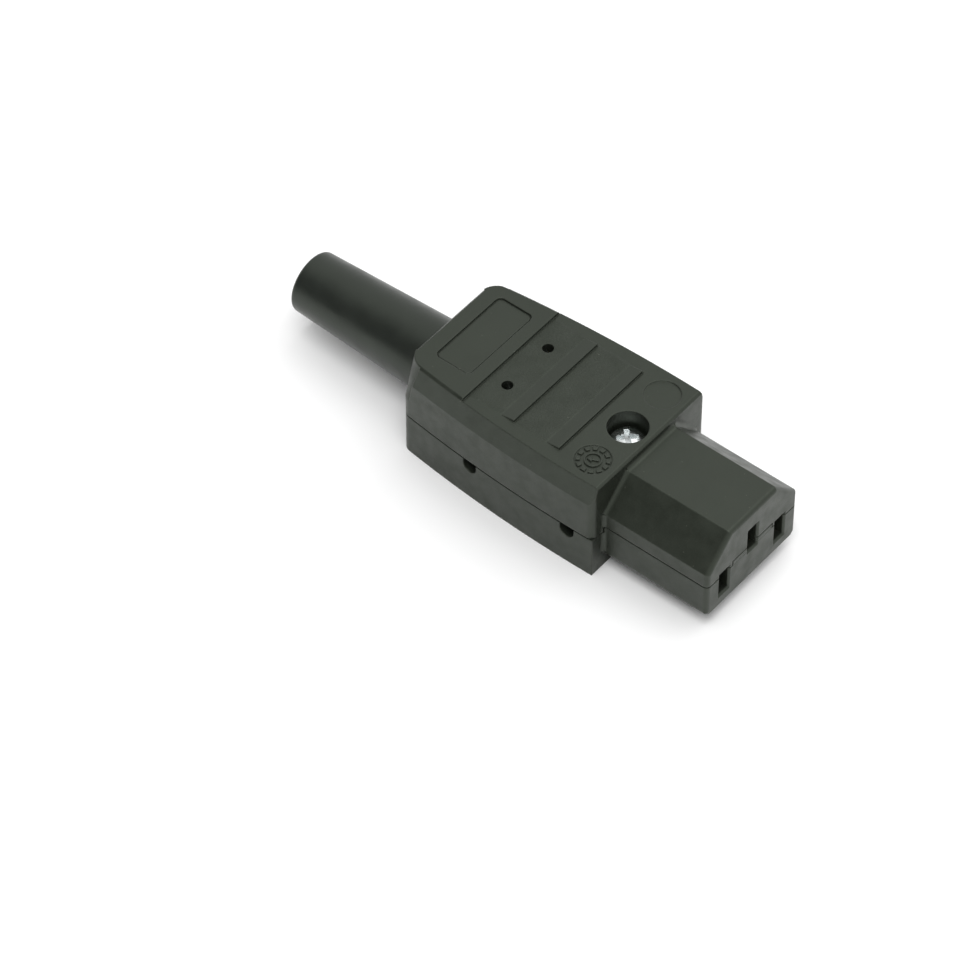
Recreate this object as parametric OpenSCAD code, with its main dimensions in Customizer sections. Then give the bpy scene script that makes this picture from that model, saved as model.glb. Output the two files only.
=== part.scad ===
// Rewirable C13 mains connector: two moulded shells around three sockets,
// a cord clamp and a soft bend-relief sleeve.
// +X runs from the mating face back to the cord, +Z is the earth side, and the
// origin is the middle of the mating face, half-way between the two pin rows.

/* [Mating nose] */
// Width of the nose that enters the inlet
nose_w = 22.7; // [22.2:0.1:24]
// Height of the nose above the pin datum
nose_top = 8.4; // [8:0.1:9]
// Depth of the nose below the pin datum
nose_bottom = 7.1; // [6.8:0.1:8]
// Length of the nose in front of the body
nose_len = 20.3; // [18:0.1:23]
// Size of the two 45 degree bevels on the earth side
nose_bevel = 5.5; // [4.5:0.1:6]
// Radius of the nose's lower long edges
nose_corner_r = 1.5; // [0.8:0.1:2]
// Radius of the edge round the mating face
nose_edge_r = 0.8; // [0.3:0.1:1.2]
// Radius of the fillet where the nose grows out of the body
nose_root_r = 0.8; // [0.3:0.1:1.2]
// Wall between the mating face and the contact chambers
nose_face_wall = 1.9; // [1.4:0.1:2.6]

/* [Pin pattern] */
// Distance between the line and neutral pins
pin_pitch = 14; // [13.5:0.1:14.5]
// Height of the earth pin above the line and neutral pins
pin_offset = 4; // [3.6:0.1:4.4]
// Thickness of a pin
pin_w = 2; // [1.8:0.1:2.1]
// Height of a pin
pin_h = 4; // [3.6:0.1:4.2]
// Side play of a pin in its slot
slot_play_w = 0.15; // [0.05:0.05:0.3]
// End play of a pin in its slot
slot_play_h = 0.5; // [0.2:0.05:0.6]
// Lead-in chamfer round each slot
slot_lead = 0.3; // [0.1:0.05:0.5]

/* [Body] */
// Length of the body behind the nose
body_len = 40.1; // [38:0.1:46]
// Greatest width of the body
body_w = 28.35; // [27.4:0.05:31]
// Height of the raised rear panel above the pin datum
body_top = 10.45; // [10:0.05:12]
// Depth of the underside below the pin datum
body_bottom = 9.35; // [9:0.05:11]
// Radius of the bowed long sides
bow_r = 257; // [200:1:400]
// Distance from the body's front to its widest place
bow_start = 6.3; // [3:0.1:12]
// Radius of the two rear corners
rear_corner_r = 4; // [2.5:0.1:5]
// Width of the bevel along each long upper edge
side_bevel_w = 1.55; // [0.8:0.05:1.7]
// Height of the bevel along each long upper edge
side_bevel_h = 1.35; // [0.8:0.05:1.7]
// Wall thickness of both shells
wall = 1.9; // [1.6:0.05:2.1]
// Drop of the body's parting plane below the pin datum
parting_drop = 1.2; // [0.8:0.1:1.6]
// Small chamfer on the upper cross edges
edge_break = 0.4; // [0.2:0.05:0.6]
// Thickness of the locating lip inside the joint
lip_t = 0.8; // [0.6:0.05:0.9]
// Height of the locating lip
lip_h = 0.9; // [0.5:0.05:1.1]
// Play between pieces that slide together
fit_gap = 0.1; // [0.05:0.01:0.15]

/* [Top face] */
// Height of the grip teeth and of the rear panel's step
tooth_h = 0.35; // [0.2:0.05:0.5]
// Length of a grip tooth's ramp
tooth_len = 2.5; // [1.5:0.1:4]
// Width of a grip tooth
tooth_w = 20.9; // [16:0.1:22]
// Distance between grip steps
tooth_pitch = 9; // [7:0.1:9.5]
// Distance from the body's front to the first grip tooth
tooth_start = 9.75; // [9:0.05:10.5]
// Length of the recessed label panel
label_len = 7; // [5:0.1:8]
// Width of the recessed label panel
label_w = 16.2; // [12:0.1:18]
// Gap between the label panel and the rear edge
label_inset = 3; // [2:0.1:3.5]
// Sideways shift of the label panel
label_shift = -0.6; // [-1:0.1:1]
// Depth of the label panel and of the round marks
mark_depth = 0.2; // [0.1:0.05:0.3]
// Radius of the two round marks
mark_r = 3; // [2:0.1:3.2]
// Distance from the centre line to each round mark
mark_y = 8.7; // [7.8:0.1:9]
// Radius of the two core-pin holes
core_hole_r = 0.95; // [0.6:0.05:1.2]
// Distance from the centre line to each core-pin hole
core_hole_y = 5.06; // [4:0.02:6]

/* [Side notches] */
// Radius of the half-moon notches in the lower shell's rim
notch_r = 1.4; // [1:0.1:1.6]
// Drop of the notches' centre below the rim
notch_drop = 0.9; // [0.5:0.1:1]
// Distance from the body's front to the front notches
notch_front = 5.05; // [4:0.05:6]
// Distance between the front and rear notches
notch_pitch = 20.05; // [18:0.05:22]
// Thickness of the tongues that close the notches from inside
shield_t = 0.8; // [0.6:0.05:0.9]

/* [Housing screw] */
// Distance from the body's front to the screw
screw_x = 4.4; // [4.4:0.1:5]
// Nominal diameter of the screw's shank
screw_d = 2.9; // [2.6:0.1:3]
// Diameter of the screw's head
screw_head_d = 5.4; // [5:0.1:5.8]
// Height of the screw's head
screw_head_h = 2; // [1.6:0.1:2.2]
// Depth of the head's top below the front panel
screw_sink = 2.2; // [1.6:0.1:2.6]
// Radius of the well that holds the head
screw_well_r = 3.35; // [3:0.05:3.4]
// Wall of the bosses round the screw
boss_wall = 0.9; // [0.8:0.05:1]
// Width of the nut across its flats
nut_af = 5.5; // [5:0.1:5.6]
// Thickness of the nut
nut_h = 2.4; // [1.8:0.1:2.6]
// Depth of the nut above the underside
nut_sink = 0.5; // [0.3:0.1:1]

/* [Contacts] */
// Thickness of the contact sheet
sheet = 0.6; // [0.5:0.05:0.7]
// Height of the spring jaws
jaw_h = 5; // [4.4:0.1:5.2]
// Distance from the chamber's front to the end of the jaws
jaw_len = 12; // [10:0.1:14]
// Gap between the relaxed jaws
jaw_gap = 1.76; // [1.6:0.02:1.9]
// Thickness of the spring clip
clip_t = 0.4; // [0.3:0.05:0.45]
// Length of the spring clip
clip_len = 3; // [2:0.1:3.4]
// Width of the terminal blocks
block_w = 5; // [4.6:0.1:5.4]
// Length of the terminal blocks
block_len = 7; // [6:0.1:7.6]
// Height of the terminal blocks
block_h = 5.6; // [5:0.1:5.8]
// Radius of the wire hole in a terminal block
wire_r = 1.3; // [1:0.05:1.4]
// Diameter of a terminal screw's shank
clamp_screw_d = 2.5; // [2.2:0.1:2.5]
// Diameter of a terminal screw's head
clamp_screw_head_d = 4; // [3.6:0.1:4.4]
// Height of a terminal screw's head
clamp_screw_head_h = 1.6; // [1.2:0.1:1.8]
// Distance from a terminal block's rear end to its screw
block_screw_inset = 2.1; // [1.8:0.05:2.1]
// Distance from the body's front to the line and neutral blocks
block_x = 3.7; // [3.5:0.1:4.5]
// Distance from the front blocks to the earth block
earth_block_step = 6.3; // [5.8:0.1:7]

/* [Cord entry] */
// Outer radius of the sleeve at the body
sleeve_r = 6.55; // [6.2:0.05:6.6]
// Outer radius of the sleeve at its free end
sleeve_end_r = 5.45; // [5:0.05:6]
// Length of the sleeve behind the body
sleeve_len = 29; // [24:0.5:40]
// Radius of the sleeve's bore
sleeve_bore_r = 3.8; // [3:0.05:4]
// Rounding of the sleeve's free end
sleeve_end_round = 0.6; // [0.3:0.1:0.8]
// Depth of the groove that the rear wall sits in
sleeve_groove = 1; // [0.8:0.05:1.2]
// Thickness of the sleeve's inner flange
flange_t = 1.6; // [1.2:0.1:2]
// Radius of the sleeve's inner flange
flange_r = 6.9; // [6.6:0.05:7]
// Drop of the cord's axis below the pin datum
cord_drop = 0.3; // [0:0.05:0.4]
// Distance from the body's front to the cord clamp
clamp_x = 24.35; // [23.5:0.05:25.5]
// Length of the cord clamp along the cord
clamp_len = 5.4; // [4.6:0.1:6]
// Height of the cord clamp's bridge above the cord channel
clamp_t = 2; // [1.6:0.1:2.2]
// Distance from the centre line to a clamp screw
clamp_screw_y = 6.6; // [6.4:0.05:6.8]
// Height of the ridges that bite the cord
ridge_h = 0.5; // [0.3:0.05:0.7]

/* [Hidden] */
$fn = 48;
black = "#2b2c28";
soft_black = "#1e1f1e";
brass = "#c9a452";
zinc = "#c4c8cc";
spring_steel = "#8f949a";
over = 1;                                     // how far a cutter runs past what it cuts
far = 60;                                     // larger than any half size of the part
bow_fn = 720;                                 // facets of the long bowed sides
thread_gap = 0.05;                            // radial gap that stands for a thread
body_end = nose_len + body_len;
bow_x = nose_len + bow_start;
panel_z = body_top - tooth_h;                 // front panel, below the raised rear panel
roof_z = panel_z - wall;
floor_z = -body_bottom + wall;
parting_z = -parting_drop;
cord_z = -cord_drop;
line_y = -pin_pitch / 2;
neutral_y = pin_pitch / 2;
low_z = -pin_offset / 2;                      // middle of the line and neutral pins
high_z = pin_offset / 2;                      // middle of the earth pin
slot_w = pin_w + 2 * slot_play_w;
slot_h = pin_h + 2 * slot_play_h;
jaw_out = jaw_gap / 2 + sheet;                // outside of a jaw at its throat
strip_w = 2 * jaw_out;
chamber_w = 2 * (jaw_out + clip_t + fit_gap + 0.2);
chamber_low = jaw_h / 2 + sheet;              // chamber floor, which the contact lies on
chamber_high = jaw_h / 2 + clip_t + 2 * fit_gap;
hall_x = nose_len + wall;                     // front of the wiring space
hall_end = body_end - wall;
hs_x = nose_len + screw_x;
seat_z = panel_z - screw_sink - screw_head_h;
screw_hole_r = screw_d / 2 + thread_gap;
boss_r = screw_hole_r + boss_wall;
eye_r = boss_r + fit_gap;
eye_out = eye_r + 2 * sheet;                  // outside of the earth strip's eye
strap_z = high_z - jaw_h / 2;                 // top of the earth contact's strip
boss_z = strap_z + fit_gap;                   // where the two screw bosses meet
front_block_x = nose_len + block_x;
earth_block_x = front_block_x + earth_block_step;
cord_clamp_x = nose_len + clamp_x;
channel_r = sleeve_bore_r;
clamp_z = cord_z + 1.3;                       // top of the clamp's bosses
clamp_boss_r = clamp_screw_y - channel_r;
neck_r = sleeve_r - sleeve_groove;
barrier_t = 0.8;                              // insulating barriers beside the earth block
hook_x = cord_clamp_x + clamp_len / 2 + wall;
hook_len = 3;
hook_t = 1.2;
hook_drop = 2.6;
hook_reach = lip_t;
hook_y = hall_half(hook_x + hook_len) - fit_gap;

// Half width of the wiring space at a given depth
function hall_half(x) = sqrt(pow(bow_r - wall, 2) - pow(x - bow_x, 2)) + body_w / 2 - bow_r;

// ---------- outer form ----------

// Slab that is rounded along the edge it shares with the mating face
module rounded_slab(reach) {
    rotate([90, 0, 0]) linear_extrude(2 * far, center = true) {
        translate([nose_edge_r, -far]) square([nose_len + over - nose_edge_r, far + reach]);
        translate([0, -far]) square([nose_len + over, far + reach - nose_edge_r]);
        translate([nose_edge_r, reach - nose_edge_r]) circle(nose_edge_r);
    }
}

// Section of the nose: bevelled on the earth side, rounded below
module nose_section() {
    half = nose_w / 2;
    polygon([[-half, nose_corner_r - nose_bottom], [half, nose_corner_r - nose_bottom],
        [half, nose_top - nose_bevel], [half - nose_bevel, nose_top],
        [nose_bevel - half, nose_top], [-half, nose_top - nose_bevel]]);
    translate([nose_corner_r - half, -nose_bottom]) square([nose_w - 2 * nose_corner_r, 2 * nose_corner_r]);
    for (side = [-1, 1])
        translate([side * (half - nose_corner_r), nose_corner_r - nose_bottom]) circle(nose_corner_r);
}

module nose() {
    bevel_reach = (nose_w / 2 + nose_top - nose_bevel) / sqrt(2);
    corner_reach = (nose_w / 2 + nose_bottom - 2 * nose_corner_r) / sqrt(2) + nose_corner_r;
    intersection() {
        rotate([90, 0, 90]) linear_extrude(nose_len + over) nose_section();
        rounded_slab(nose_top);
        rotate([180, 0, 0]) rounded_slab(nose_bottom);
        intersection_for(angle = [-90, 90]) rotate([angle, 0, 0]) rounded_slab(nose_w / 2);
        intersection_for(angle = [-45, 45]) rotate([angle, 0, 0]) rounded_slab(bevel_reach);
        intersection_for(angle = [-135, 135]) rotate([angle, 0, 0]) rounded_slab(corner_reach);
    }
}

// Concave fillet between one face of the nose and the front of the body
module root_fillet(reach, length) {
    rotate([90, 0, 0]) linear_extrude(length, center = true) difference() {
        translate([nose_len - nose_root_r, reach - over]) square([nose_root_r + over, nose_root_r + over]);
        translate([nose_len - nose_root_r, reach + nose_root_r]) circle(nose_root_r);
    }
}

module nose_root() {
    side_low = nose_corner_r - nose_bottom;
    side_high = nose_top - nose_bevel;
    bevel_reach = (nose_w / 2 + side_high) / sqrt(2);
    root_fillet(nose_top, nose_w - 2 * nose_bevel);
    rotate([180, 0, 0]) root_fillet(nose_bottom, nose_w - 2 * nose_corner_r);
    for (side = [-1, 1]) {
        translate([0, 0, (side_low + side_high) / 2])
            rotate([-side * 90, 0, 0]) root_fillet(nose_w / 2, side_high - side_low);
        rotate([-side * 45, 0, 0]) translate([0, side * (nose_w / 2 - nose_top) / sqrt(2), 0])
            root_fillet(bevel_reach, nose_bevel * sqrt(2));
    }
}

// Centre of a rear corner: touches the bowed side and the rear face
function rear_corner() = let (
    x = body_end - rear_corner_r,
    reach = bow_r - rear_corner_r
) [x, sqrt(reach * reach - (x - bow_x) * (x - bow_x)) + body_w / 2 - bow_r];

// Outline of the body from above, drawn in by inset, between two depths
module body_plan(inset, front, rear) {
    corner = rear_corner();
    outward = corner - [bow_x, body_w / 2 - bow_r];
    way = outward / norm(outward) * 2 * rear_corner_r;
    difference() {
        intersection() {
            intersection_for(side = [-1, 1])
                translate([bow_x, side * (bow_r - body_w / 2)]) circle(bow_r - inset, $fn = bow_fn);
            translate([front, -far / 2]) square([rear - front, far]);
        }
        for (side = [0, 1]) mirror([0, side]) difference() {
            polygon([corner, corner + way, corner + 2 * rear_corner_r * [1, 1], corner + [2 * rear_corner_r, 0]]);
            translate(corner) circle(rear_corner_r - inset);
        }
    }
}

// Bar that takes the sharp edge off an upper cross edge
module edge_cut(x, z) {
    translate([x, 0, z]) rotate([0, 45, 0]) cube([edge_break * sqrt(2), far, edge_break * sqrt(2)], center = true);
}

module round_mark(y) {
    translate([nose_len + screw_x, y, panel_z - mark_depth]) cylinder(r = mark_r, h = tooth_h + mark_depth + over);
}

// Rounded rectangle, centred
module rounded_rect(length, width, r) {
    square([length - 2 * r, width], center = true);
    square([length, width - 2 * r], center = true);
    for (x = [-1, 1], y = [-1, 1]) translate([x * (length / 2 - r), y * (width / 2 - r)]) circle(r);
}

// Ramp that ends in a step towards the nose, for pulling the connector out
module grip_tooth(x) {
    translate([nose_len + x, 0, panel_z]) rotate([90, 0, 0]) linear_extrude(tooth_w, center = true)
        polygon([[0, -over / 2], [0, tooth_h], [tooth_len, 0], [tooth_len, -over / 2]]);
}

module body() {
    rise = body_top - side_bevel_h + body_bottom;
    panel_x = nose_len + tooth_start + 2 * tooth_pitch;
    difference() {
        intersection() {
            translate([0, 0, -body_bottom]) linear_extrude(body_bottom + body_top)
                body_plan(0, nose_len, body_end);
            intersection_for(side = [-1, 1]) translate([bow_x, side * (bow_r - body_w / 2), -body_bottom])
                cylinder(r1 = bow_r + rise * side_bevel_w / side_bevel_h, r2 = bow_r - side_bevel_w,
                    h = body_bottom + body_top, $fn = bow_fn);
        }
        translate([nose_len - over, -far / 2, panel_z]) cube([panel_x - nose_len + over, far, far]);
        edge_cut(nose_len, panel_z);
        edge_cut(body_end, body_top);
        translate([body_end - label_inset - label_len / 2, label_shift, body_top - mark_depth])
            linear_extrude(over) rounded_rect(label_len, label_w, 1);
        for (side = [-1, 1]) round_mark(side * mark_y);
    }
    for (step = [0, 1]) grip_tooth(tooth_start + step * tooth_pitch);
}

// ---------- spaces inside ----------

// Space on one side of the joint between the shells
module shell_zone(upper) {
    mirror([0, 0, upper ? 0 : 1]) {
        translate([-over, -far / 2, 0]) cube([nose_len + over, far, far]);
        translate([nose_len, -far / 2, upper ? parting_z : -parting_z]) cube([body_len + over, far, far]);
    }
}

// Slot for one pin, with its lead-in, at the mating face
module pin_slot(y, z) {
    translate([-over, y - slot_w / 2, z - slot_h / 2]) cube([nose_face_wall + 2 * over, slot_w, slot_h]);
    translate([0, y, z]) intersection() {
        linear_extrude(far, center = true) lead_in_outline(slot_w);
        rotate([90, 0, 0]) linear_extrude(far, center = true) lead_in_outline(slot_h);
    }
}

// Outline of a slot's lead-in: wide at the face, as wide as the slot inside
module lead_in_outline(width) {
    polygon([[-over, -width / 2 - slot_lead - over], [slot_lead, -width / 2],
        [slot_lead, width / 2], [-over, width / 2 + slot_lead + over]]);
}

module contact_chamber(y, z) {
    translate([nose_face_wall, y - chamber_w / 2, z - chamber_low])
        cube([hall_x + over - nose_face_wall, chamber_w, chamber_low + chamber_high]);
}

// Wiring space inside the body
module hall() {
    translate([0, 0, floor_z]) linear_extrude(roof_z - floor_z) body_plan(wall, hall_x, hall_end);
}

module cord_hole(r, front, rear) {
    translate([front, 0, cord_z]) rotate([0, 90, 0]) cylinder(r = r, h = rear - front);
}

module socket_spaces() {
    for (y = [line_y, neutral_y]) {
        pin_slot(y, low_z);
        contact_chamber(y, low_z);
    }
    pin_slot(0, high_z);
    contact_chamber(0, high_z);
}

// Ribs that hold the sleeve's flange against the rear wall
module flange_rib() {
    x = hall_end - fit_gap - flange_t - fit_gap - wall / 2;
    intersection() {
        difference() {
            translate([x, -flange_r, floor_z - over]) cube([wall / 2, 2 * flange_r, roof_z - floor_z + 2 * over]);
            cord_hole(sleeve_r, x - over, x + wall);
        }
        body();
    }
}

// ---------- shells ----------

module upper_shell() {
    tower_r = screw_well_r + boss_wall;
    color(black) {
        difference() {
            intersection() {
                union() {
                    nose();
                    nose_root();
                    body();
                }
                shell_zone(true);
            }
            difference() {
                hall();
                translate([hs_x, 0, seat_z - wall]) cylinder(r = tower_r, h = far);
                flange_rib();
            }
            socket_spaces();
            cord_hole(neck_r + fit_gap / 2, hall_end - over, body_end + over);
            translate([hs_x, 0, seat_z]) cylinder(r = screw_well_r, h = far);
            translate([hs_x, 0, strap_z - sheet - fit_gap]) cylinder(r = eye_out + fit_gap, h = sheet + 2 * fit_gap);
            translate([hs_x, 0, parting_z - over]) cylinder(r = screw_hole_r, h = far);
            for (side = [-1, 1]) translate([cord_clamp_x, side * core_hole_y, roof_z - over])
                cylinder(r = core_hole_r, h = far);
            translate([0, 0, parting_z - over]) linear_extrude(over + lip_h + fit_gap) difference() {
                body_plan(wall - lip_t - fit_gap, hall_x, hall_end + lip_t);
                body_plan(wall + over, hall_x - over, hall_end - over);
            }
        }
        difference() {
            translate([hs_x, 0, boss_z]) cylinder(r = boss_r + boss_wall, h = seat_z - boss_z);
            translate([hs_x, 0, boss_z - over]) cylinder(r = screw_hole_r, h = far);
        }
        for (side = [-1, 1]) {
            rear_hook(side);
            for (x = [notch_front, notch_front + notch_pitch]) notch_shield(nose_len + x, side);
        }
    }
}

// Tongue that closes a rim notch from inside
module notch_shield(x, side) {
    length = 2 * notch_r + wall;
    drop = notch_drop + notch_r + wall / 2;
    mirror([0, side < 0 ? 1 : 0, 0])
        translate([x - length / 2, hall_half(x + length / 2) - fit_gap - shield_t, parting_z - drop])
            cube([length, shield_t, drop + roof_z - parting_z + over / 2]);
}

// Tongue that hooks under the lower shell's side wall, near the rear
module rear_hook(side) {
    root_z = parting_z + lip_h + 2 * fit_gap;
    mirror([0, side < 0 ? 1 : 0, 0]) {
        translate([hook_x, hook_y - hook_t, parting_z - hook_drop])
            cube([hook_len, hook_t, hook_drop + roof_z - parting_z + over / 2]);
        translate([hook_x, hook_y - over / 2, root_z]) cube([hook_len, over, roof_z - root_z + over / 2]);
        translate([hook_x, hook_y - over / 2, parting_z - hook_drop])
            cube([hook_len, over / 2 + hook_reach, hook_drop / 2]);
    }
}

module hook_pocket(side) {
    mirror([0, side < 0 ? 1 : 0, 0])
        translate([hook_x - fit_gap, hook_y - over, parting_z - hook_drop - fit_gap])
            cube([hook_len + 2 * fit_gap, over + hook_reach + fit_gap, hook_drop / 2 + 2 * fit_gap]);
}

module rim_notches() {
    for (x = [notch_front, notch_front + notch_pitch], side = [-1, 1])
        translate([nose_len + x, side * body_w / 2, parting_z - notch_drop])
            rotate([90, 0, 0]) cylinder(r = notch_r, h = 4 * wall, center = true);
    for (x = [notch_front, notch_front + notch_pitch], side = [-1, 1])
        translate([nose_len + x - notch_r, side * body_w / 2 - 2 * wall, parting_z - notch_drop])
            cube([2 * notch_r, 4 * wall, notch_drop + lip_h + over]);
}

module nut_pocket() {
    translate([hs_x, 0, -body_bottom - over])
        cylinder(d = (nut_af + fit_gap) / cos(30), h = over + nut_sink + nut_h + fit_gap, $fn = 6);
}

// What stands on the lower shell's floor
module lower_supports() {
    seat_h = low_z - chamber_low - floor_z + over;
    for (y = [line_y, neutral_y])
        translate([hall_x - over, y - strip_w / 2, floor_z - over])
            cube([front_block_x + block_len - hall_x + over, strip_w, seat_h]);
    translate([earth_block_x, -strip_w / 2, floor_z - over])
        cube([block_len, strip_w, high_z - chamber_low - floor_z + over]);
    for (side = [-1, 1])
        translate([earth_block_x - wall, side * (block_w + wall) / 2 - barrier_t / 2, floor_z - over])
            cube([block_len + wall, barrier_t, high_z - floor_z + over]);
    translate([hs_x, 0, floor_z - over])
        cylinder(r = nut_af / sqrt(3) + boss_wall, h = over + nut_sink + nut_h + boss_wall - floor_z - body_bottom);
    translate([hs_x, 0, floor_z - over]) cylinder(r = boss_r, h = over + strap_z + fit_gap - floor_z);
}

// Saddle and screw bosses under the cord clamp
module cord_saddle() {
    difference() {
        union() {
            translate([cord_clamp_x - clamp_len / 2, -clamp_screw_y, floor_z - over])
                cube([clamp_len, 2 * clamp_screw_y, cord_z - floor_z + over]);
            for (side = [-1, 1]) translate([cord_clamp_x, side * clamp_screw_y, floor_z - over])
                cylinder(r = clamp_boss_r, h = clamp_z - floor_z + over);
        }
        cord_hole(channel_r, cord_clamp_x - clamp_len, cord_clamp_x + clamp_len);
        for (side = [-1, 1]) translate([cord_clamp_x, side * clamp_screw_y, floor_z])
            cylinder(d = screw_d + 2 * thread_gap, h = far);
    }
    cord_ridges(-1);
}

// Ridges across the cord channel: below the cord with side -1, above it with 1
module cord_ridges(side) {
    half = channel_r / 2;
    base = sqrt(pow(channel_r, 2) - pow(half, 2));
    for (x = [-1, 1] * clamp_len / 4)
        translate([cord_clamp_x + x, 0, cord_z]) rotate([90, 0, 0]) linear_extrude(2 * half, center = true)
            polygon([[-ridge_h, side * (channel_r + ridge_h)], [ridge_h, side * (channel_r + ridge_h)],
                [0, side * (base - ridge_h)]]);
}

module lower_shell() {
    color(black) {
        difference() {
            union() {
                difference() {
                    intersection() {
                        union() {
                            nose();
                            nose_root();
                            body();
                        }
                        shell_zone(false);
                    }
                    difference() {
                        hall();
                        flange_rib();
                    }
                }
                translate([0, 0, parting_z - over]) linear_extrude(over + lip_h) difference() {
                    body_plan(wall - lip_t, hall_x, hall_end + lip_t);
                    body_plan(wall, hall_x - over, hall_end);
                }
                lower_supports();
            }
            socket_spaces();
            rim_notches();
            nut_pocket();
            cord_hole(neck_r + fit_gap / 2, hall_end - over, body_end + over);
            translate([hs_x, 0, -body_bottom]) cylinder(r = screw_hole_r, h = far);
            for (side = [-1, 1]) hook_pocket(side);
        }
        cord_saddle();
    }
}

// ---------- sleeve and cord clamp ----------

// Soft bend-relief sleeve; its groove grips the edge of the rear wall
module strain_relief_sleeve() {
    end = body_end + sleeve_len;
    front = hall_end - fit_gap - flange_t;
    color(soft_black) translate([0, 0, cord_z]) rotate([0, 90, 0]) rotate_extrude() difference() {
        union() {
            polygon([[sleeve_bore_r, front], [flange_r, front], [flange_r, hall_end - fit_gap],
                [neck_r, hall_end - fit_gap], [neck_r, body_end + fit_gap / 2], [sleeve_r, body_end + fit_gap / 2],
                [sleeve_end_r, end - sleeve_end_round], [sleeve_end_r - sleeve_end_round, end],
                [sleeve_bore_r, end]]);
            translate([sleeve_end_r - sleeve_end_round, end - sleeve_end_round]) circle(sleeve_end_round);
        }
        translate([-over, front - over]) square([sleeve_bore_r + over, end - front + 2 * over]);
    }
}

module cord_clamp() {
    top = cord_z + channel_r + clamp_t;
    color(black) {
        difference() {
            union() {
                translate([cord_clamp_x - clamp_len / 2, -clamp_screw_y, clamp_z])
                    cube([clamp_len, 2 * clamp_screw_y, top - clamp_z]);
                for (side = [-1, 1]) translate([cord_clamp_x, side * clamp_screw_y, clamp_z])
                    cylinder(d = clamp_len, h = top - clamp_z);
            }
            cord_hole(channel_r, cord_clamp_x - clamp_len, cord_clamp_x + clamp_len);
            for (side = [-1, 1]) translate([cord_clamp_x, side * clamp_screw_y, clamp_z - over])
                cylinder(d = screw_d + 2 * thread_gap, h = far);
        }
        cord_ridges(1);
    }
}

// ---------- screws and nut ----------

// Screw standing on its tip: head on top, with a cross or a straight slot
module screw(d, length, head_d, head_h, cross) {
    slot = head_d / 6;
    difference() {
        union() {
            translate([0, 0, -length]) cylinder(d = d, h = length + over / 2);
            intersection() {
                cylinder(d = head_d, h = head_h);
                translate([0, 0, head_h - head_d]) sphere(head_d);
            }
        }
        for (turn = cross ? [45, 135] : [90]) rotate([0, 0, turn])
            translate([-head_d * (cross ? 0.32 : 1), -slot / 2, head_h * 0.45])
                cube([head_d * (cross ? 0.64 : 2), slot, head_h]);
    }
}

module housing_screw() {
    tip_z = nut_sink - body_bottom;
    color(zinc) translate([hs_x, 0, seat_z]) screw(screw_d, seat_z - tip_z, screw_head_d, screw_head_h, true);
}

module housing_nut() {
    color(zinc) translate([hs_x, 0, nut_sink - body_bottom]) difference() {
        cylinder(d = nut_af / cos(30), h = nut_h, $fn = 6);
        translate([0, 0, -over]) cylinder(r = screw_hole_r, h = far);
    }
}

module cord_clamp_screw(side) {
    top = cord_z + channel_r + clamp_t;
    color(zinc) translate([cord_clamp_x, side * clamp_screw_y, top])
        screw(screw_d, top - floor_z - over, clamp_screw_head_d, clamp_screw_head_h, true);
}

// ---------- contacts, for a pin in the middle of y and z ----------

// Folded sheet socket with two spring jaws and a flat tail
module contact(y, z, tail_end, eye) {
    throat = jaw_gap / 2;
    mouth = pin_w * 0.75;
    rear = pin_w * 0.6;
    front = nose_face_wall + fit_gap;
    inner = [[front, mouth], [front + jaw_len * 0.18, throat], [front + jaw_len * 0.55, throat],
        [front + jaw_len * 0.7, rear], [front + jaw_len, rear]];
    outer = [for (i = [4 : -1 : 0]) inner[i] + [0, sheet]];
    strip_start = front + jaw_len * 0.6;
    color(brass) translate([0, y, z]) {
        for (side = [0, 1]) mirror([0, side, 0]) {
            translate([0, 0, -jaw_h / 2]) linear_extrude(jaw_h) polygon(concat(inner, outer));
            translate([strip_start, rear, -jaw_h / 2 - sheet])
                cube([jaw_len * 0.4, sheet, sheet + jaw_h / 2]);
        }
        translate([0, 0, -jaw_h / 2 - sheet]) linear_extrude(sheet) difference() {
            union() {
                translate([strip_start, -strip_w / 2]) square([tail_end - strip_start, strip_w]);
                if (eye) translate([hs_x, 0]) circle(eye_out);
            }
            if (eye) translate([hs_x, 0]) circle(eye_r);
        }
    }
}

// Steel clip that presses the jaws together
module contact_spring(y, z) {
    x = nose_face_wall + fit_gap + jaw_len * 0.28;
    inner = jaw_out + thread_gap / 2;
    color(spring_steel) translate([x, y, z]) {
        for (side = [0, 1]) mirror([0, side, 0])
            translate([0, inner, -jaw_h / 2 + sheet]) cube([clip_len, clip_t, jaw_h - sheet + thread_gap]);
        translate([0, -inner - clip_t, jaw_h / 2 + thread_gap]) cube([clip_len, 2 * (inner + clip_t), clip_t]);
    }
}

// Brass block on the contact's tail, with a wire hole and a threaded hole
module terminal_block(x, y, z) {
    base = z - jaw_h / 2;
    color(brass) difference() {
        translate([x, y - block_w / 2, base]) cube([block_len, block_w, block_h]);
        translate([x - over, y, base + block_h / 2]) rotate([0, 90, 0]) cylinder(r = wire_r, h = block_len + 2 * over);
        translate([x + block_len - block_screw_inset, y, base + block_h / 2])
            cylinder(d = clamp_screw_d + 2 * thread_gap, h = far);
    }
}

module terminal_screw(x, y, z) {
    top = z - jaw_h / 2 + block_h;
    color(zinc) translate([x + block_len - block_screw_inset, y, top])
        screw(clamp_screw_d, block_h / 2 - wire_r, clamp_screw_head_d, clamp_screw_head_h, false);
}

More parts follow.
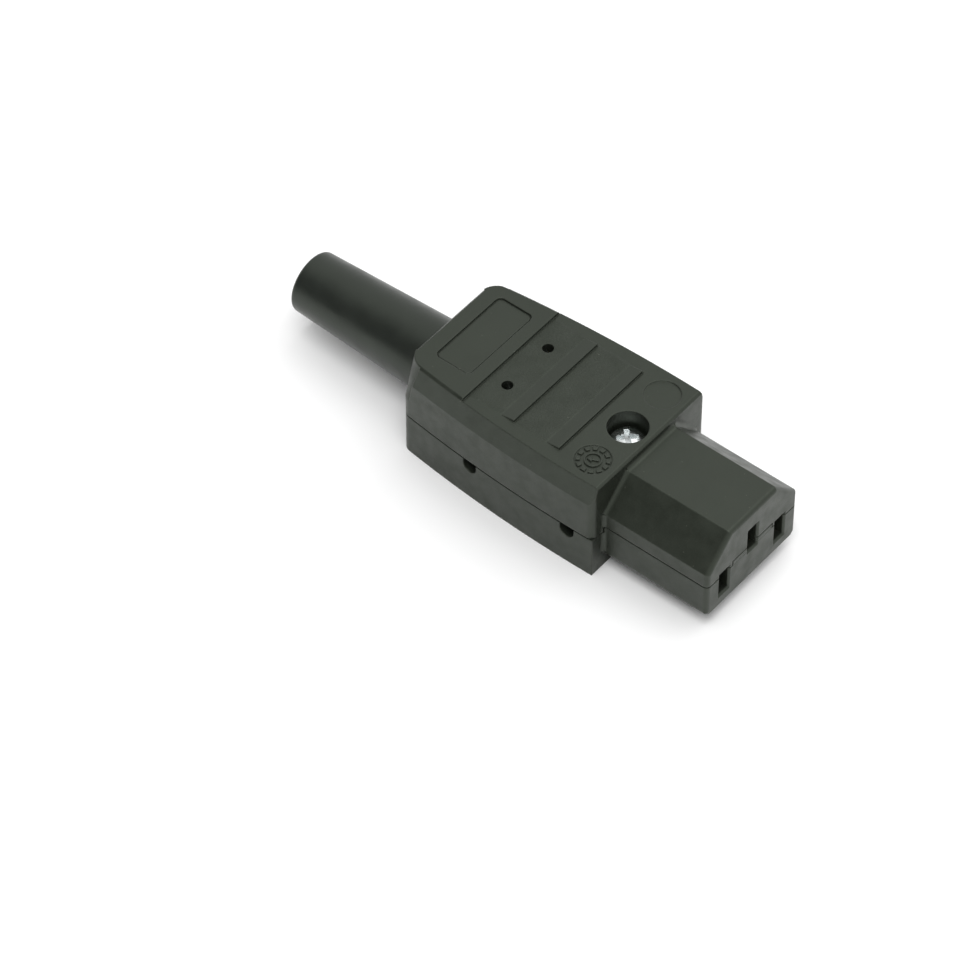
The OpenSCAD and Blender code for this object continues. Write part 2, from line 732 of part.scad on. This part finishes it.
upper_shell();
lower_shell();
strain_relief_sleeve();
housing_screw();
housing_nut();
cord_clamp();
cord_clamp_screw(-1);  // cord_clamp_screw_left
cord_clamp_screw(1);  // cord_clamp_screw_right
contact(line_y, low_z, front_block_x + block_len, false);  // line_contact
contact_spring(line_y, low_z);  // line_contact_spring
terminal_block(front_block_x, line_y, low_z);  // line_terminal_block
terminal_screw(front_block_x, line_y, low_z);  // line_terminal_screw
contact(neutral_y, low_z, front_block_x + block_len, false);  // neutral_contact
contact_spring(neutral_y, low_z);  // neutral_contact_spring
terminal_block(front_block_x, neutral_y, low_z);  // neutral_terminal_block
terminal_screw(front_block_x, neutral_y, low_z);  // neutral_terminal_screw
contact(0, high_z, earth_block_x + block_len, true);  // earth_contact
contact_spring(0, high_z);  // earth_contact_spring
terminal_block(earth_block_x, 0, high_z);  // earth_terminal_block
terminal_screw(earth_block_x, 0, high_z);  // earth_terminal_screw
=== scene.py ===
# Looks of the rewirable mains connector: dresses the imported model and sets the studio.
# Metres throughout; +X runs from the mating face back to the cord sleeve, +Z is up.
import math

import bmesh
import bpy
import numpy as np
from mathutils import Matrix, Vector


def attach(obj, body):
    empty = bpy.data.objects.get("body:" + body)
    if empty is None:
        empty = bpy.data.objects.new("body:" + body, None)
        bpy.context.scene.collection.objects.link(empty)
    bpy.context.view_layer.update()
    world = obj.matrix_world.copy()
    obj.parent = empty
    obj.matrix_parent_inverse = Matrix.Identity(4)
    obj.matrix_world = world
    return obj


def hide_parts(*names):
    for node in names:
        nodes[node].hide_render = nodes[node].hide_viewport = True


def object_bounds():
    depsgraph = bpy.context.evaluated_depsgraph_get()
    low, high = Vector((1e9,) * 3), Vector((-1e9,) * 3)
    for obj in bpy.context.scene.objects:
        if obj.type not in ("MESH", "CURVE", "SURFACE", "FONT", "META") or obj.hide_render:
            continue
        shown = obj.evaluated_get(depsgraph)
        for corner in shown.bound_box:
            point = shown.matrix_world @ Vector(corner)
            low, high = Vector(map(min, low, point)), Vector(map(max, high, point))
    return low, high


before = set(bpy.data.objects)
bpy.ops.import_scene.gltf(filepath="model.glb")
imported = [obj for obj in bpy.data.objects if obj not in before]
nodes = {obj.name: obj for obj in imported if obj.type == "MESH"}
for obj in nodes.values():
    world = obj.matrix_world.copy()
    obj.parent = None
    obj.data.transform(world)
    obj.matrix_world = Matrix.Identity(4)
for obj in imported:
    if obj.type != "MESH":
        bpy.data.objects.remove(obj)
cadLow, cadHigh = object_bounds()
cadBox = [list(cadLow), list(cadHigh)]
mm = 0.001
middle = (Vector(cadLow) + Vector(cadHigh)) / 2
print("frame loaded:", len(nodes), "nodes")


# ---------- camera ----------

cameraView = {
    "azimuth": 219.323,  # degrees, 0 looks along +Y
    "elevation": 48.76,
    "distance": 0.8037,  # from the camera to the point it looks at
    "lens": 193.366,  # mm on a 36 mm sensor
    "aimFromMiddle": (-0.0038, 0.01636, -0.0002),  # metres from the middle of the part
}


def placeCamera(view):
    a, e = math.radians(view["azimuth"]), math.radians(view["elevation"])
    back = Vector((math.sin(a) * math.cos(e), -math.cos(a) * math.cos(e), math.sin(e)))
    right = Vector((math.cos(a), math.sin(a), 0.0))
    up = back.cross(right)
    data = bpy.data.cameras.new("studioCamera")
    data.lens = view["lens"]
    data.sensor_width = 36.0
    data.clip_start = 0.01
    data.clip_end = 20.0
    camera = bpy.data.objects.new("studioCamera", data)
    bpy.context.scene.collection.objects.link(camera)
    turn = Matrix((right, up, back)).transposed().to_4x4()
    camera.matrix_world = Matrix.Translation(middle + Vector(view["aimFromMiddle"]) + back * view["distance"]) @ turn
    bpy.context.scene.camera = camera


placeCamera(cameraView)


# ---------- shapes carried along a path ----------

def sweep(rings, closed=False):
    # Skin over a row of equal loops: point j of loop i joins point j of loop i + 1; open rows are capped.
    rings = np.asarray(rings, dtype=float)
    count, size = rings.shape[:2]
    i = np.arange(count if closed else count - 1)[:, None]
    j = np.arange(size)[None, :]
    after, beside = (i + 1) % count, (j + 1) % size
    quads = np.stack([i * size + j, i * size + beside, after * size + beside, after * size + j], axis=-1)
    faces = quads.reshape(-1, 4).tolist()
    if not closed:
        faces += [list(range(size)), list(range((count - 1) * size, count * size))]
    return rings.reshape(-1, 3), faces


def solid(name, sweeps):
    # One mesh from several sweeps, in metres, with its faces turned outwards.
    points, faces, start = [], [], 0
    for rowPoints, rowFaces in sweeps:
        points.append(rowPoints)
        faces += [[index + start for index in face] for face in rowFaces]
        start += len(rowPoints)
    mesh = bpy.data.meshes.new(name)
    mesh.from_pydata((np.concatenate(points) * mm).tolist(), [], faces)
    work = bmesh.new()
    work.from_mesh(mesh)
    bmesh.ops.recalc_face_normals(work, faces=work.faces)
    work.to_mesh(mesh)
    work.free()
    made = bpy.data.objects.new(name, mesh)
    bpy.context.scene.collection.objects.link(made)
    return made


def upright(outline, low, high):
    # Prism on a plan outline (x, y), between two heights.
    outline = np.asarray(outline, dtype=float)
    floor = np.column_stack([outline, np.full(len(outline), low)])
    roof = np.column_stack([outline, np.full(len(outline), high)])
    return sweep([floor, roof])


def arc(centre, radius, first, last, steps):
    # Points at centre + radius * (cos a, sin a), for a from first to last in degrees.
    angle = np.radians(np.linspace(first, last, steps))
    return np.column_stack([centre[0] + radius * np.cos(angle), centre[1] + radius * np.sin(angle)])


def mirrored(points, side):
    return np.asarray(points, dtype=float) * ([1, side] if np.shape(points)[-1] == 2 else [1, side, 1])


# ---------- shells ----------

shells = {  # mm
    "noseLength": 20.3,
    "noseHalf": 11.35,
    "bodyEnd": 60.4,
    "bodyHalf": 14.175,
    "bowRadius": 257.0,
    "bowMiddle": 26.6,  # x of the widest place
    "bottom": -9.35,
    "top": 10.45,
    "panel": 10.1,
    "parting": -1.2,
    "oldCorner": 4.0,  # rear corner of the solids
    "rearCorner": 1.7,
    "frontCorner": 1.2,
    "rootFillet": 0.8,
    "bevelFoot": 6.55,  # height at which the long bevels start
    "bevelInset": 1.148,  # how far they come in at the panel
    "topBevelFoot": 9.1,
    "topBevelInset": 1.55,
    "seamHalf": 0.12,
    "seamDepth": 0.45,
    "seamClear": 0.4,  # how far the seam's cutter stands out of the surface
    "noseEdge": 0.8,  # rounding of the mating face's edge
    "labelMiddle": (53.9, -0.6),  # recess in the rear panel
    "labelHalf": (3.5, 8.1),
    "labelCorner": 1.0,
    "labelFloor": 10.25,
    "labelLine": 0.2,  # width and depth of the line round it
    "roofCorner": 3.3,  # rear corner at the top, inside the bevels
    "steps": ((30.05, 10.42), (39.05, 10.42), (48.05, 13.3)),  # x and half width of each step
    "stepWidth": 0.24,  # channel along the foot of each step
    "stepDepth": 0.16,
    "faceJogY": 5.0,  # the seam steps up here on the mating face
    "faceJogRise": 0.9,
}


def bowEdge(x, inset=0.0):
    # Half width: a circle of the bow's radius less the inset, about a centre beyond the far side.
    reach = shells["bowRadius"] - inset
    return np.sqrt(reach ** 2 - (x - shells["bowMiddle"]) ** 2) + shells["bodyHalf"] - shells["bowRadius"]


def bevelCutter(foot, inset, height, firstX, lastX):
    # Wedge outside the line from (inset 0, foot) through (inset, height), carried along both bowed sides.
    low, high, clear = foot - 0.2, shells["top"] + 0.1, -1.5
    slope = inset / (height - foot)
    profile = [((low - foot) * slope, low), ((high - foot) * slope, high), (clear, high), (clear, low)]
    x = np.linspace(firstX, lastX, 48)
    loops = np.stack([np.column_stack([x, bowEdge(x, drawn), np.full_like(x, z)]) for drawn, z in profile], axis=1)
    return [sweep(mirrored(loops, side)) for side in (1, -1)]


def rearCentre(radius):
    x = shells["bodyEnd"] - radius
    return x, float(bowEdge(x, radius))


def rearFill():
    # Makes the rear corners tighter: from the wide corner's tangent points out to the small corner.
    oldX, oldY = rearCentre(shells["oldCorner"])
    newX, newY = rearCentre(shells["rearCorner"])
    tilt = math.degrees(math.asin((newX - shells["bowMiddle"]) / (shells["bowRadius"] - shells["rearCorner"])))
    tangentX = oldX + 0.47
    side = np.linspace(tangentX, newX, 4)
    return np.concatenate([
        np.column_stack([side, bowEdge(side)]),
        arc((newX, newY), shells["rearCorner"], 90 - tilt, 0, 10),
        [[shells["bodyEnd"], oldY], [shells["bodyEnd"] - 0.8, oldY - 0.3]],  # back inside the wall
        arc((oldX, oldY), shells["oldCorner"] - 0.8, 0, 90, 8),
        [[oldX - 0.2, float(bowEdge(oldX)) - 0.5]]])


def frontCutter():
    # Rounds the front upright edges of the upper shell.
    radius, front = shells["frontCorner"], shells["noseLength"]
    half = float(bowEdge(front)) + 0.012
    outline = np.concatenate([
        [[front - 0.5, half + 0.5], [front - 0.5, half - radius]],
        arc((front + radius, half - radius), radius, 180, 90, 12),
        [[front + radius, half + 0.5]]])
    return [upright(mirrored(outline, side), shells["parting"] - 0.02, shells["top"] + 1) for side in (1, -1)]


def roofCutter():
    # Blends each rear corner from its small radius at the bevel's foot to a wider one at the top.
    newX, newY = rearCentre(shells["rearCorner"])
    wide = shells["roofCorner"]
    topX = shells["bodyEnd"] - wide
    topY = float(bowEdge(topX, shells["topBevelInset"] - 0.1)) - wide
    loops = []
    for (x, y), radius, z in (((newX, newY), shells["rearCorner"] + 0.01, shells["bevelFoot"] - 4.0),
                              ((topX, topY), wide, shells["top"] + 0.1)):
        curve = arc((x, y), radius, 86, 0, 12)
        outline = np.concatenate([curve, [[shells["bodyEnd"] + 1.0, y], [shells["bodyEnd"] + 1.0, newY + 5.0],
                                          [curve[0][0], newY + 5.0]]])
        loops.append(np.column_stack([outline, np.full(len(outline), z)]))
    return [sweep(mirrored(np.array(loops), side)) for side in (1, -1)]


def stepCutters():
    # Fine channel along the foot of each step on the top.
    low, high = shells["panel"] - shells["stepDepth"], shells["panel"] + 0.05
    width = shells["stepWidth"]
    return [upright([[x - width, -half], [x, -half], [x, half], [x - width, half]], low, high)
            for x, half in shells["steps"]]


def labelCutter():
    # Fine line round the label recess: a square profile along a rounded rectangle.
    (midX, midY), (halfX, halfY) = shells["labelMiddle"], shells["labelHalf"]
    corner, line, floor = shells["labelCorner"], shells["labelLine"], shells["labelFloor"]
    loops = []
    for drawn, z in ((0.0, floor - line), (0.0, floor + line), (line, floor + line), (line, floor - line)):
        turns = [arc((midX + sx * (halfX - corner), midY + sy * (halfY - corner)), corner - drawn,
                     start, start + 90, 7)
                 for sx, sy, start in ((1, 1, 0), (-1, 1, 90), (-1, -1, 180), (1, -1, 270))]
        outline = np.concatenate(turns)
        loops.append(np.column_stack([outline, np.full(len(outline), z)]))
    return [sweep(np.stack(loops, axis=1), closed=True)]


def groove(path, z):
    # Small rectangle carried along a plan path, from seamDepth inside the surface to seamClear outside it.
    path = np.asarray(path, dtype=float)
    along = np.gradient(path, axis=0)
    along /= np.linalg.norm(along, axis=1)[:, None]
    out = np.column_stack([-along[:, 1], along[:, 0]])
    inner, outer = path - out * shells["seamDepth"], path + out * shells["seamClear"]
    rise = shells["seamHalf"]
    loops = [np.column_stack([p, np.full(len(path), h)])
             for p, h in ((inner, z - rise), (outer, z - rise), (outer, z + rise), (inner, z + rise))]
    return np.stack(loops, axis=1)


def seamPaths():
    front, half, fillet = shells["noseLength"], shells["noseHalf"], shells["rootFillet"]
    corner = shells["frontCorner"]
    centre = (front - fillet, half + fillet)
    newX, newY = rearCentre(shells["rearCorner"])
    side = np.linspace(front + corner + 0.6, newX - 0.2, 60)
    edge = float(bowEdge(front))
    bodyPath = np.concatenate([
        arc(centre, fillet, -45, -5, 5),
        [[front, edge - corner - 0.3]],
        arc((front + corner, edge - corner), corner, 175, 95, 8),
        np.column_stack([side, bowEdge(side)]),
        arc((newX, newY), shells["rearCorner"], 78, 3, 8),
        [[shells["bodyEnd"], newY - 1.5], [shells["bodyEnd"], 6.4]]])
    edgeRound = shells["noseEdge"]
    nosePath = np.concatenate([
        [[0.0, shells["faceJogY"] - shells["seamHalf"]], [0.0, half - edgeRound - 0.4]],
        arc((edgeRound, half - edgeRound), edgeRound, 175, 95, 8),
        [[2.0, half], [10.0, half], [front - fillet - 0.4, half]],
        arc(centre, fillet, -85, -45, 5)])
    return bodyPath, nosePath


def seamCutters():
    bodyPath, nosePath = seamPaths()
    rise, parting = shells["seamHalf"], shells["parting"]
    depth, jogY, jogZ = shells["seamDepth"], shells["faceJogY"], shells["faceJogRise"]
    body = [sweep(mirrored(groove(bodyPath, parting), side)) for side in (1, -1)]
    nose = [sweep(mirrored(groove(nosePath, 0.0), side)) for side in (1, -1)]
    foot = np.array(nosePath[-1])
    out = np.array([-1.0, 1.0]) / math.sqrt(2)
    along = np.array([1.0, 1.0]) / math.sqrt(2)
    clear = shells["seamClear"]
    riser = [foot - out * depth - along * rise, foot + out * clear - along * rise,
             foot + out * clear + along * rise, foot - out * depth + along * rise]
    jog = [[-clear, jogY - rise], [depth, jogY - rise], [depth, jogY + rise], [-clear, jogY + rise]]
    steps = []
    for side in (1, -1):
        steps.append(upright(mirrored(riser, side), parting - rise * 0.9, rise * 0.9))
        steps.append(upright(mirrored(jog, side), -rise * 0.9, jogZ + rise * 0.9))
    bar = [[-clear, -jogY], [depth, -jogY], [depth, jogY], [-clear, jogY]]
    return body, nose, steps, [upright(bar, jogZ - rise, jogZ + rise)]


def carve(node, name, low, high):
    # Copy of a shell with its corners filled and its bevels, edges and seam cut.
    made = bpy.data.objects.new(name, nodes[node].data.copy())
    bpy.context.scene.collection.objects.link(made)
    work = bmesh.new()
    work.from_mesh(made.data)
    bmesh.ops.remove_doubles(work, verts=work.verts, dist=0.0005 * mm)
    work.to_mesh(made.data)
    work.free()
    body, nose, steps, bar = seamCutters()
    fill = [upright(mirrored(rearFill(), side), low + 0.01, high - 0.01) for side in (1, -1)]
    jobs = [("UNION", fill),
            ("DIFFERENCE", bevelCutter(shells["bevelFoot"], shells["bevelInset"], shells["panel"],
                                       shells["noseLength"] - 0.5, shells["bodyEnd"] + 0.5)),
            ("DIFFERENCE", bevelCutter(shells["topBevelFoot"], shells["topBevelInset"], shells["top"],
                                       rearCentre(shells["oldCorner"])[0] + 0.5, shells["bodyEnd"] + 0.5)),
            ("DIFFERENCE", roofCutter()), ("DIFFERENCE", frontCutter()), ("DIFFERENCE", stepCutters()),
            ("DIFFERENCE", labelCutter()), ("DIFFERENCE", body), ("DIFFERENCE", nose),
            ("DIFFERENCE", steps), ("DIFFERENCE", bar)]
    helpers = []
    for number, (operation, sweeps) in enumerate(jobs):
        helper = solid("%sHelper%d" % (name, number), sweeps)
        cut = made.modifiers.new("cut%d" % number, "BOOLEAN")
        cut.operation = operation
        cut.solver = "EXACT"
        cut.object = helper
        helpers.append(helper)
    bpy.context.view_layer.update()
    result = bpy.data.meshes.new_from_object(made.evaluated_get(bpy.context.evaluated_depsgraph_get()))
    made.modifiers.clear()
    made.data = result
    result.name = name
    for helper in helpers:
        mesh = helper.data
        bpy.data.objects.remove(helper)
        bpy.data.meshes.remove(mesh)
    result.polygons.foreach_set("use_smooth", np.zeros(len(result.polygons), dtype=bool))
    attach(made, "housing")
    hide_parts(node)
    print(name, "carved:", len(result.polygons), "faces")
    return made


upperMoulding = carve("upper_shell", "upperMoulding", shells["parting"], shells["top"])
lowerMoulding = carve("lower_shell", "lowerMoulding", shells["bottom"], shells["parting"])


# ---------- mould clock ----------

mouldClock = {  # mm
    "centre": (24.7, 8.7),
    "floor": 9.88,
    "top": 10.12,
    "pads": 12,
    "padInner": 2.02,
    "padOuter": 2.74,
    "padShare": 0.62,  # of the pitch that a pad fills
    "ring": (1.22, 1.45),
    "arrowTurn": 25.0,  # degrees from +X
    "arrow": ((-0.95, -0.13), (0.15, -0.13), (0.15, -0.5), (0.95, 0.0), (0.15, 0.5), (0.15, 0.13), (-0.95, 0.13)),
}


def ringPiece(inner, outer, first, last, steps, closed=False):
    # Rectangle between two radii and two heights, carried round the clock's centre.
    angle = np.radians(np.linspace(first, last, steps, endpoint=not closed))
    across = [(inner, mouldClock["floor"]), (outer, mouldClock["floor"]),
              (outer, mouldClock["top"]), (inner, mouldClock["top"])]
    loops = [np.column_stack([mouldClock["centre"][0] + r * np.cos(angle),
                              mouldClock["centre"][1] + r * np.sin(angle), np.full_like(angle, z)])
             for r, z in across]
    return sweep(np.stack(loops, axis=1), closed)


def makeMouldClock():
    pitch = 360 / mouldClock["pads"]
    half = pitch * mouldClock["padShare"] / 2
    sweeps = [ringPiece(mouldClock["padInner"], mouldClock["padOuter"], pitch * n - half, pitch * n + half, 6)
              for n in range(mouldClock["pads"])]
    sweeps.append(ringPiece(*mouldClock["ring"], 0, 360, 48, closed=True))
    turn = math.radians(mouldClock["arrowTurn"])
    ahead, aside = np.array([math.cos(turn), math.sin(turn)]), np.array([-math.sin(turn), math.cos(turn)])
    outline = [np.array(mouldClock["centre"]) + ahead * u + aside * v for u, v in mouldClock["arrow"]]
    sweeps.append(upright(outline, mouldClock["floor"], mouldClock["top"]))
    made = solid("mouldClock", sweeps)
    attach(made, "housing")
    return made


clock = makeMouldClock()
print("mould clock made")


# ---------- materials ----------

def newMaterial(name):
    material = bpy.data.materials.new(name)
    material.use_nodes = True
    tree = material.node_tree
    return material, tree, tree.nodes["Principled BSDF"]


def addNode(tree, kind, inputs=None, **settings):
    made = tree.nodes.new(kind)
    for key, value in settings.items():
        setattr(made, key, value)
    for key, value in (inputs or {}).items():
        if isinstance(value, bpy.types.NodeSocket):
            tree.links.new(value, made.inputs[key])
        else:
            made.inputs[key].default_value = value
    return made


def objectPoint(tree):
    return addNode(tree, "ShaderNodeTexCoord").outputs["Object"]


def noise(tree, point, scale, detail=2.0, roughness=0.5):
    inputs = {"Vector": point, "Scale": scale, "Detail": detail, "Roughness": roughness}
    return addNode(tree, "ShaderNodeTexNoise", inputs).outputs["Fac"]


def spread(tree, value, low, high, toLow, toHigh):
    inputs = {"Value": value, "From Min": low, "From Max": high, "To Min": toLow, "To Max": toHigh}
    return addNode(tree, "ShaderNodeMapRange", inputs).outputs["Result"]


def mixColour(tree, fac, first, second):
    made = addNode(tree, "ShaderNodeMix", data_type="RGBA")
    for socket, value in ((made.inputs[0], fac), (made.inputs[6], first), (made.inputs[7], second)):
        if isinstance(value, bpy.types.NodeSocket):
            tree.links.new(value, socket)
        else:
            socket.default_value = value
    return made.outputs[2]


def reckon(tree, operation, first, second=0.0):
    return addNode(tree, "ShaderNodeMath", {0: first, 1: second}, operation=operation).outputs[0]


def window(tree, value, low, high, soft):
    # 1 between low and high, falling to 0 over soft on either side.
    rise = spread(tree, value, low - soft, low, 0.0, 1.0)
    fall = spread(tree, value, high, high + soft, 1.0, 0.0)
    return reckon(tree, "MULTIPLY", rise, fall)


def bump(tree, height, distance, below=None):
    inputs = {"Height": height, "Distance": distance}
    if below is not None:
        inputs["Normal"] = below
    return addNode(tree, "ShaderNodeBump", inputs).outputs["Normal"]


glossTint = (0.89, 1.0, 0.84, 1)  # faint green of the black mouldings' gloss

shellFinish = {
    "dark": (0.0098, 0.0118, 0.0086, 1),
    "light": (0.0158, 0.0184, 0.0138, 1),
    "dust": (0.055, 0.058, 0.048, 1),
    # painted highlight: paler colour laid along the edges in place of the light that their rounding catches
    "edge": (0.03, 0.033, 0.027, 1),
    "edgeRadius": 0.32 * mm,
    "roughLow": 0.34,
    "roughHigh": 0.5,
    "grainSize": 5200.0,
    "grainDepth": 0.012 * mm,
    "fieldSize": 2300.0,  # coarser texture between the grip steps
    "fieldDepth": 0.14 * mm,
    "fieldSpans": ((32.7, 38.9), (41.7, 47.9)),  # mm along X
    "fieldHalf": 10.2,
}


def shellPlastic(finish):
    material, tree, surface = newMaterial("shellPlastic")
    point = objectPoint(tree)
    place = addNode(tree, "ShaderNodeSeparateXYZ", {"Vector": point})
    x, y, z = (place.outputs[axis] for axis in "XYZ")
    spans = [window(tree, x, low * mm, high * mm, 0.25 * mm) for low, high in finish["fieldSpans"]]
    field = reckon(tree, "ADD", *spans)
    half = finish["fieldHalf"] * mm
    field = reckon(tree, "MULTIPLY", field, window(tree, y, -half, half, 0.5 * mm))
    field = reckon(tree, "MULTIPLY", field, window(tree, z, 10.0 * mm, 10.3 * mm, 0.05 * mm))
    rounded = addNode(tree, "ShaderNodeBevel", {"Radius": finish["edgeRadius"]}, samples=6).outputs["Normal"]
    flat = addNode(tree, "ShaderNodeNewGeometry").outputs["Normal"]
    turned = addNode(tree, "ShaderNodeVectorMath", {0: rounded, 1: flat}, operation="DOT_PRODUCT").outputs["Value"]
    # painted highlight along the edges, strongest where the rounded normal turns most from the flat one
    paintedEdgeHighlight = spread(tree, turned, 0.995, 0.86, 0.0, 1.0)
    base = mixColour(tree, noise(tree, point, 160.0, 3.0), finish["dark"], finish["light"])
    base = mixColour(tree, reckon(tree, "MULTIPLY", paintedEdgeHighlight, 0.6), base, finish["edge"])
    specks = spread(tree, noise(tree, point, 1500.0, 2.0), 0.735, 0.79, 0.0, 0.8)
    base = mixColour(tree, specks, base, finish["dust"])
    tree.links.new(base, surface.inputs["Base Color"])
    rough = spread(tree, noise(tree, point, 420.0, 4.0), 0.3, 0.7, finish["roughLow"], finish["roughHigh"])
    rough = reckon(tree, "ADD", rough, reckon(tree, "MULTIPLY", field, 0.12))
    tree.links.new(rough, surface.inputs["Roughness"])
    grain = bump(tree, noise(tree, point, finish["grainSize"], 3.0, 0.6), finish["grainDepth"], rounded)
    coarse = reckon(tree, "MULTIPLY", noise(tree, point, finish["fieldSize"], 4.0, 0.65), field)
    tree.links.new(bump(tree, coarse, finish["fieldDepth"], grain), surface.inputs["Normal"])
    surface.inputs["Specular Tint"].default_value = glossTint
    return material


sleeveFinish = {
    "dark": (0.009, 0.0105, 0.0092, 1),
    "light": (0.0145, 0.0165, 0.0145, 1),
    "rough": (0.3, 0.42),
    "edgeRadius": 0.4 * mm,
    "ripple": 0.025 * mm,
    "grainSize": 4200.0,
    "grainDepth": 0.006 * mm,
}


def sleeveRubber(finish):
    material, tree, surface = newMaterial("sleeveRubber")
    point = objectPoint(tree)
    base = mixColour(tree, noise(tree, point, 120.0, 3.0), finish["dark"], finish["light"])
    tree.links.new(base, surface.inputs["Base Color"])
    rough = spread(tree, noise(tree, point, 300.0, 3.0), 0.3, 0.7, *finish["rough"])
    tree.links.new(rough, surface.inputs["Roughness"])
    rounded = addNode(tree, "ShaderNodeBevel", {"Radius": finish["edgeRadius"]}, samples=6).outputs["Normal"]
    ripple = bump(tree, noise(tree, point, 330.0, 2.0), finish["ripple"], rounded)
    grain = bump(tree, noise(tree, point, finish["grainSize"], 2.0), finish["grainDepth"], ripple)
    tree.links.new(grain, surface.inputs["Normal"])
    surface.inputs["Specular Tint"].default_value = glossTint
    return material


metalFinishes = {
    # name: two tones, roughness range, noise size, depth of the drawn lines
    "zincPlate": ((0.62, 0.66, 0.68, 1), (0.76, 0.78, 0.76, 1), (0.16, 0.34), 700.0, 0.01 * mm),
    "plainBrass": ((0.66, 0.46, 0.18, 1), (0.8, 0.6, 0.28, 1), (0.22, 0.4), 380.0, 0.008 * mm),
    "springSteel": ((0.36, 0.37, 0.39, 1), (0.5, 0.51, 0.52, 1), (0.28, 0.42), 500.0, 0.006 * mm),
}


def drawnMetal(name):
    # Metal with cloudy tone and fine drawn lines along X.
    first, second, rough, size, depth = metalFinishes[name]
    material, tree, surface = newMaterial(name)
    point = objectPoint(tree)
    cloud = noise(tree, point, size, 3.0)
    tree.links.new(mixColour(tree, cloud, first, second), surface.inputs["Base Color"])
    surface.inputs["Metallic"].default_value = 1.0
    tree.links.new(spread(tree, cloud, 0.3, 0.7, *rough), surface.inputs["Roughness"])
    drawn = addNode(tree, "ShaderNodeMapping", {"Vector": point, "Scale": (1, 8, 8)}).outputs["Vector"]
    rounded = addNode(tree, "ShaderNodeBevel", {"Radius": 0.12 * mm}, samples=4).outputs["Normal"]
    tree.links.new(bump(tree, noise(tree, drawn, size), depth, rounded), surface.inputs["Normal"])
    return material


def dress(pieces, material):
    for piece in pieces:
        piece.data.materials.clear()
        piece.data.materials.append(material)


def nodesEnding(*endings):
    return [nodes[name] for name in nodes if name.endswith(endings)]


plastic = shellPlastic(shellFinish)
dress([nodes["upper_shell"], nodes["lower_shell"], nodes["cord_clamp"]], plastic)
dress([upperMoulding, lowerMoulding, clock], plastic)
dress([nodes["strain_relief_sleeve"]], sleeveRubber(sleeveFinish))
dress(nodesEnding("_screw", "_screw_left", "_screw_right", "_nut"), drawnMetal("zincPlate"))
dress(nodesEnding("_contact", "_block"), drawnMetal("plainBrass"))
dress(nodesEnding("_spring"), drawnMetal("springSteel"))
print("materials given")


# ---------- studio ----------

studio = {
    "floorSize": 3.0,
    "floorColour": (0.93, 0.93, 0.93, 1),
    "sky": 0.95,
    "shade": 0.16,  # strength in the dim part of the sky
    "shadeWay": (0.42, 0.84, 0.30),  # where the sky is dim
    "lamps": [
        # name, place, size, power in watts
        ("farSide", (-0.05, -0.35, 0.8), 0.6, 1.3),
        ("nearSide", (-0.05, 0.28, 0.82), 0.5, 3.8),
    ],
}


def layFloor(size):
    half = size / 2
    level = cadBox[0][2]
    material, tree, surface = newMaterial("paperFloor")
    surface.inputs["Base Color"].default_value = studio["floorColour"]
    surface.inputs["Roughness"].default_value = 0.9
    surface.inputs["Specular IOR Level"].default_value = 0.0
    mesh = bpy.data.meshes.new("studioFloor")
    mesh.from_pydata([(-half, -half, level), (half, -half, level), (half, half, level), (-half, half, level)],
                     [], [(0, 1, 2, 3)])
    mesh.materials.append(material)
    floor = bpy.data.objects.new("studioFloor", mesh)
    bpy.context.scene.collection.objects.link(floor)


def hangLamp(name, place, size, power):
    data = bpy.data.lights.new(name, "AREA")
    data.shape = "SQUARE"
    data.size = size
    data.energy = power
    lamp = bpy.data.objects.new(name, data)
    bpy.context.scene.collection.objects.link(lamp)
    lamp.location = place
    lamp.rotation_euler = (middle - Vector(place)).to_track_quat("-Z", "Y").to_euler()


def lightWorld(settings):
    # Even sky that fades to dim round one direction.
    world = bpy.data.worlds.new("studioWorld")
    bpy.context.scene.world = world
    world.use_nodes = True
    tree = world.node_tree
    background = tree.nodes["Background"]
    way = Vector(settings["shadeWay"]).normalized()
    ray = addNode(tree, "ShaderNodeTexCoord").outputs["Generated"]
    near = addNode(tree, "ShaderNodeVectorMath", {0: ray, 1: way}, operation="DOT_PRODUCT").outputs["Value"]
    strength = spread(tree, near, 0.35, 0.85, settings["sky"], settings["shade"])
    background.inputs["Color"].default_value = (1, 1, 1, 1)
    tree.links.new(strength, background.inputs["Strength"])


layFloor(studio["floorSize"])
for lampData in studio["lamps"]:
    hangLamp(*lampData)
lightWorld(studio)
bpy.context.scene.view_settings.view_transform = "Standard"
print("studio set")
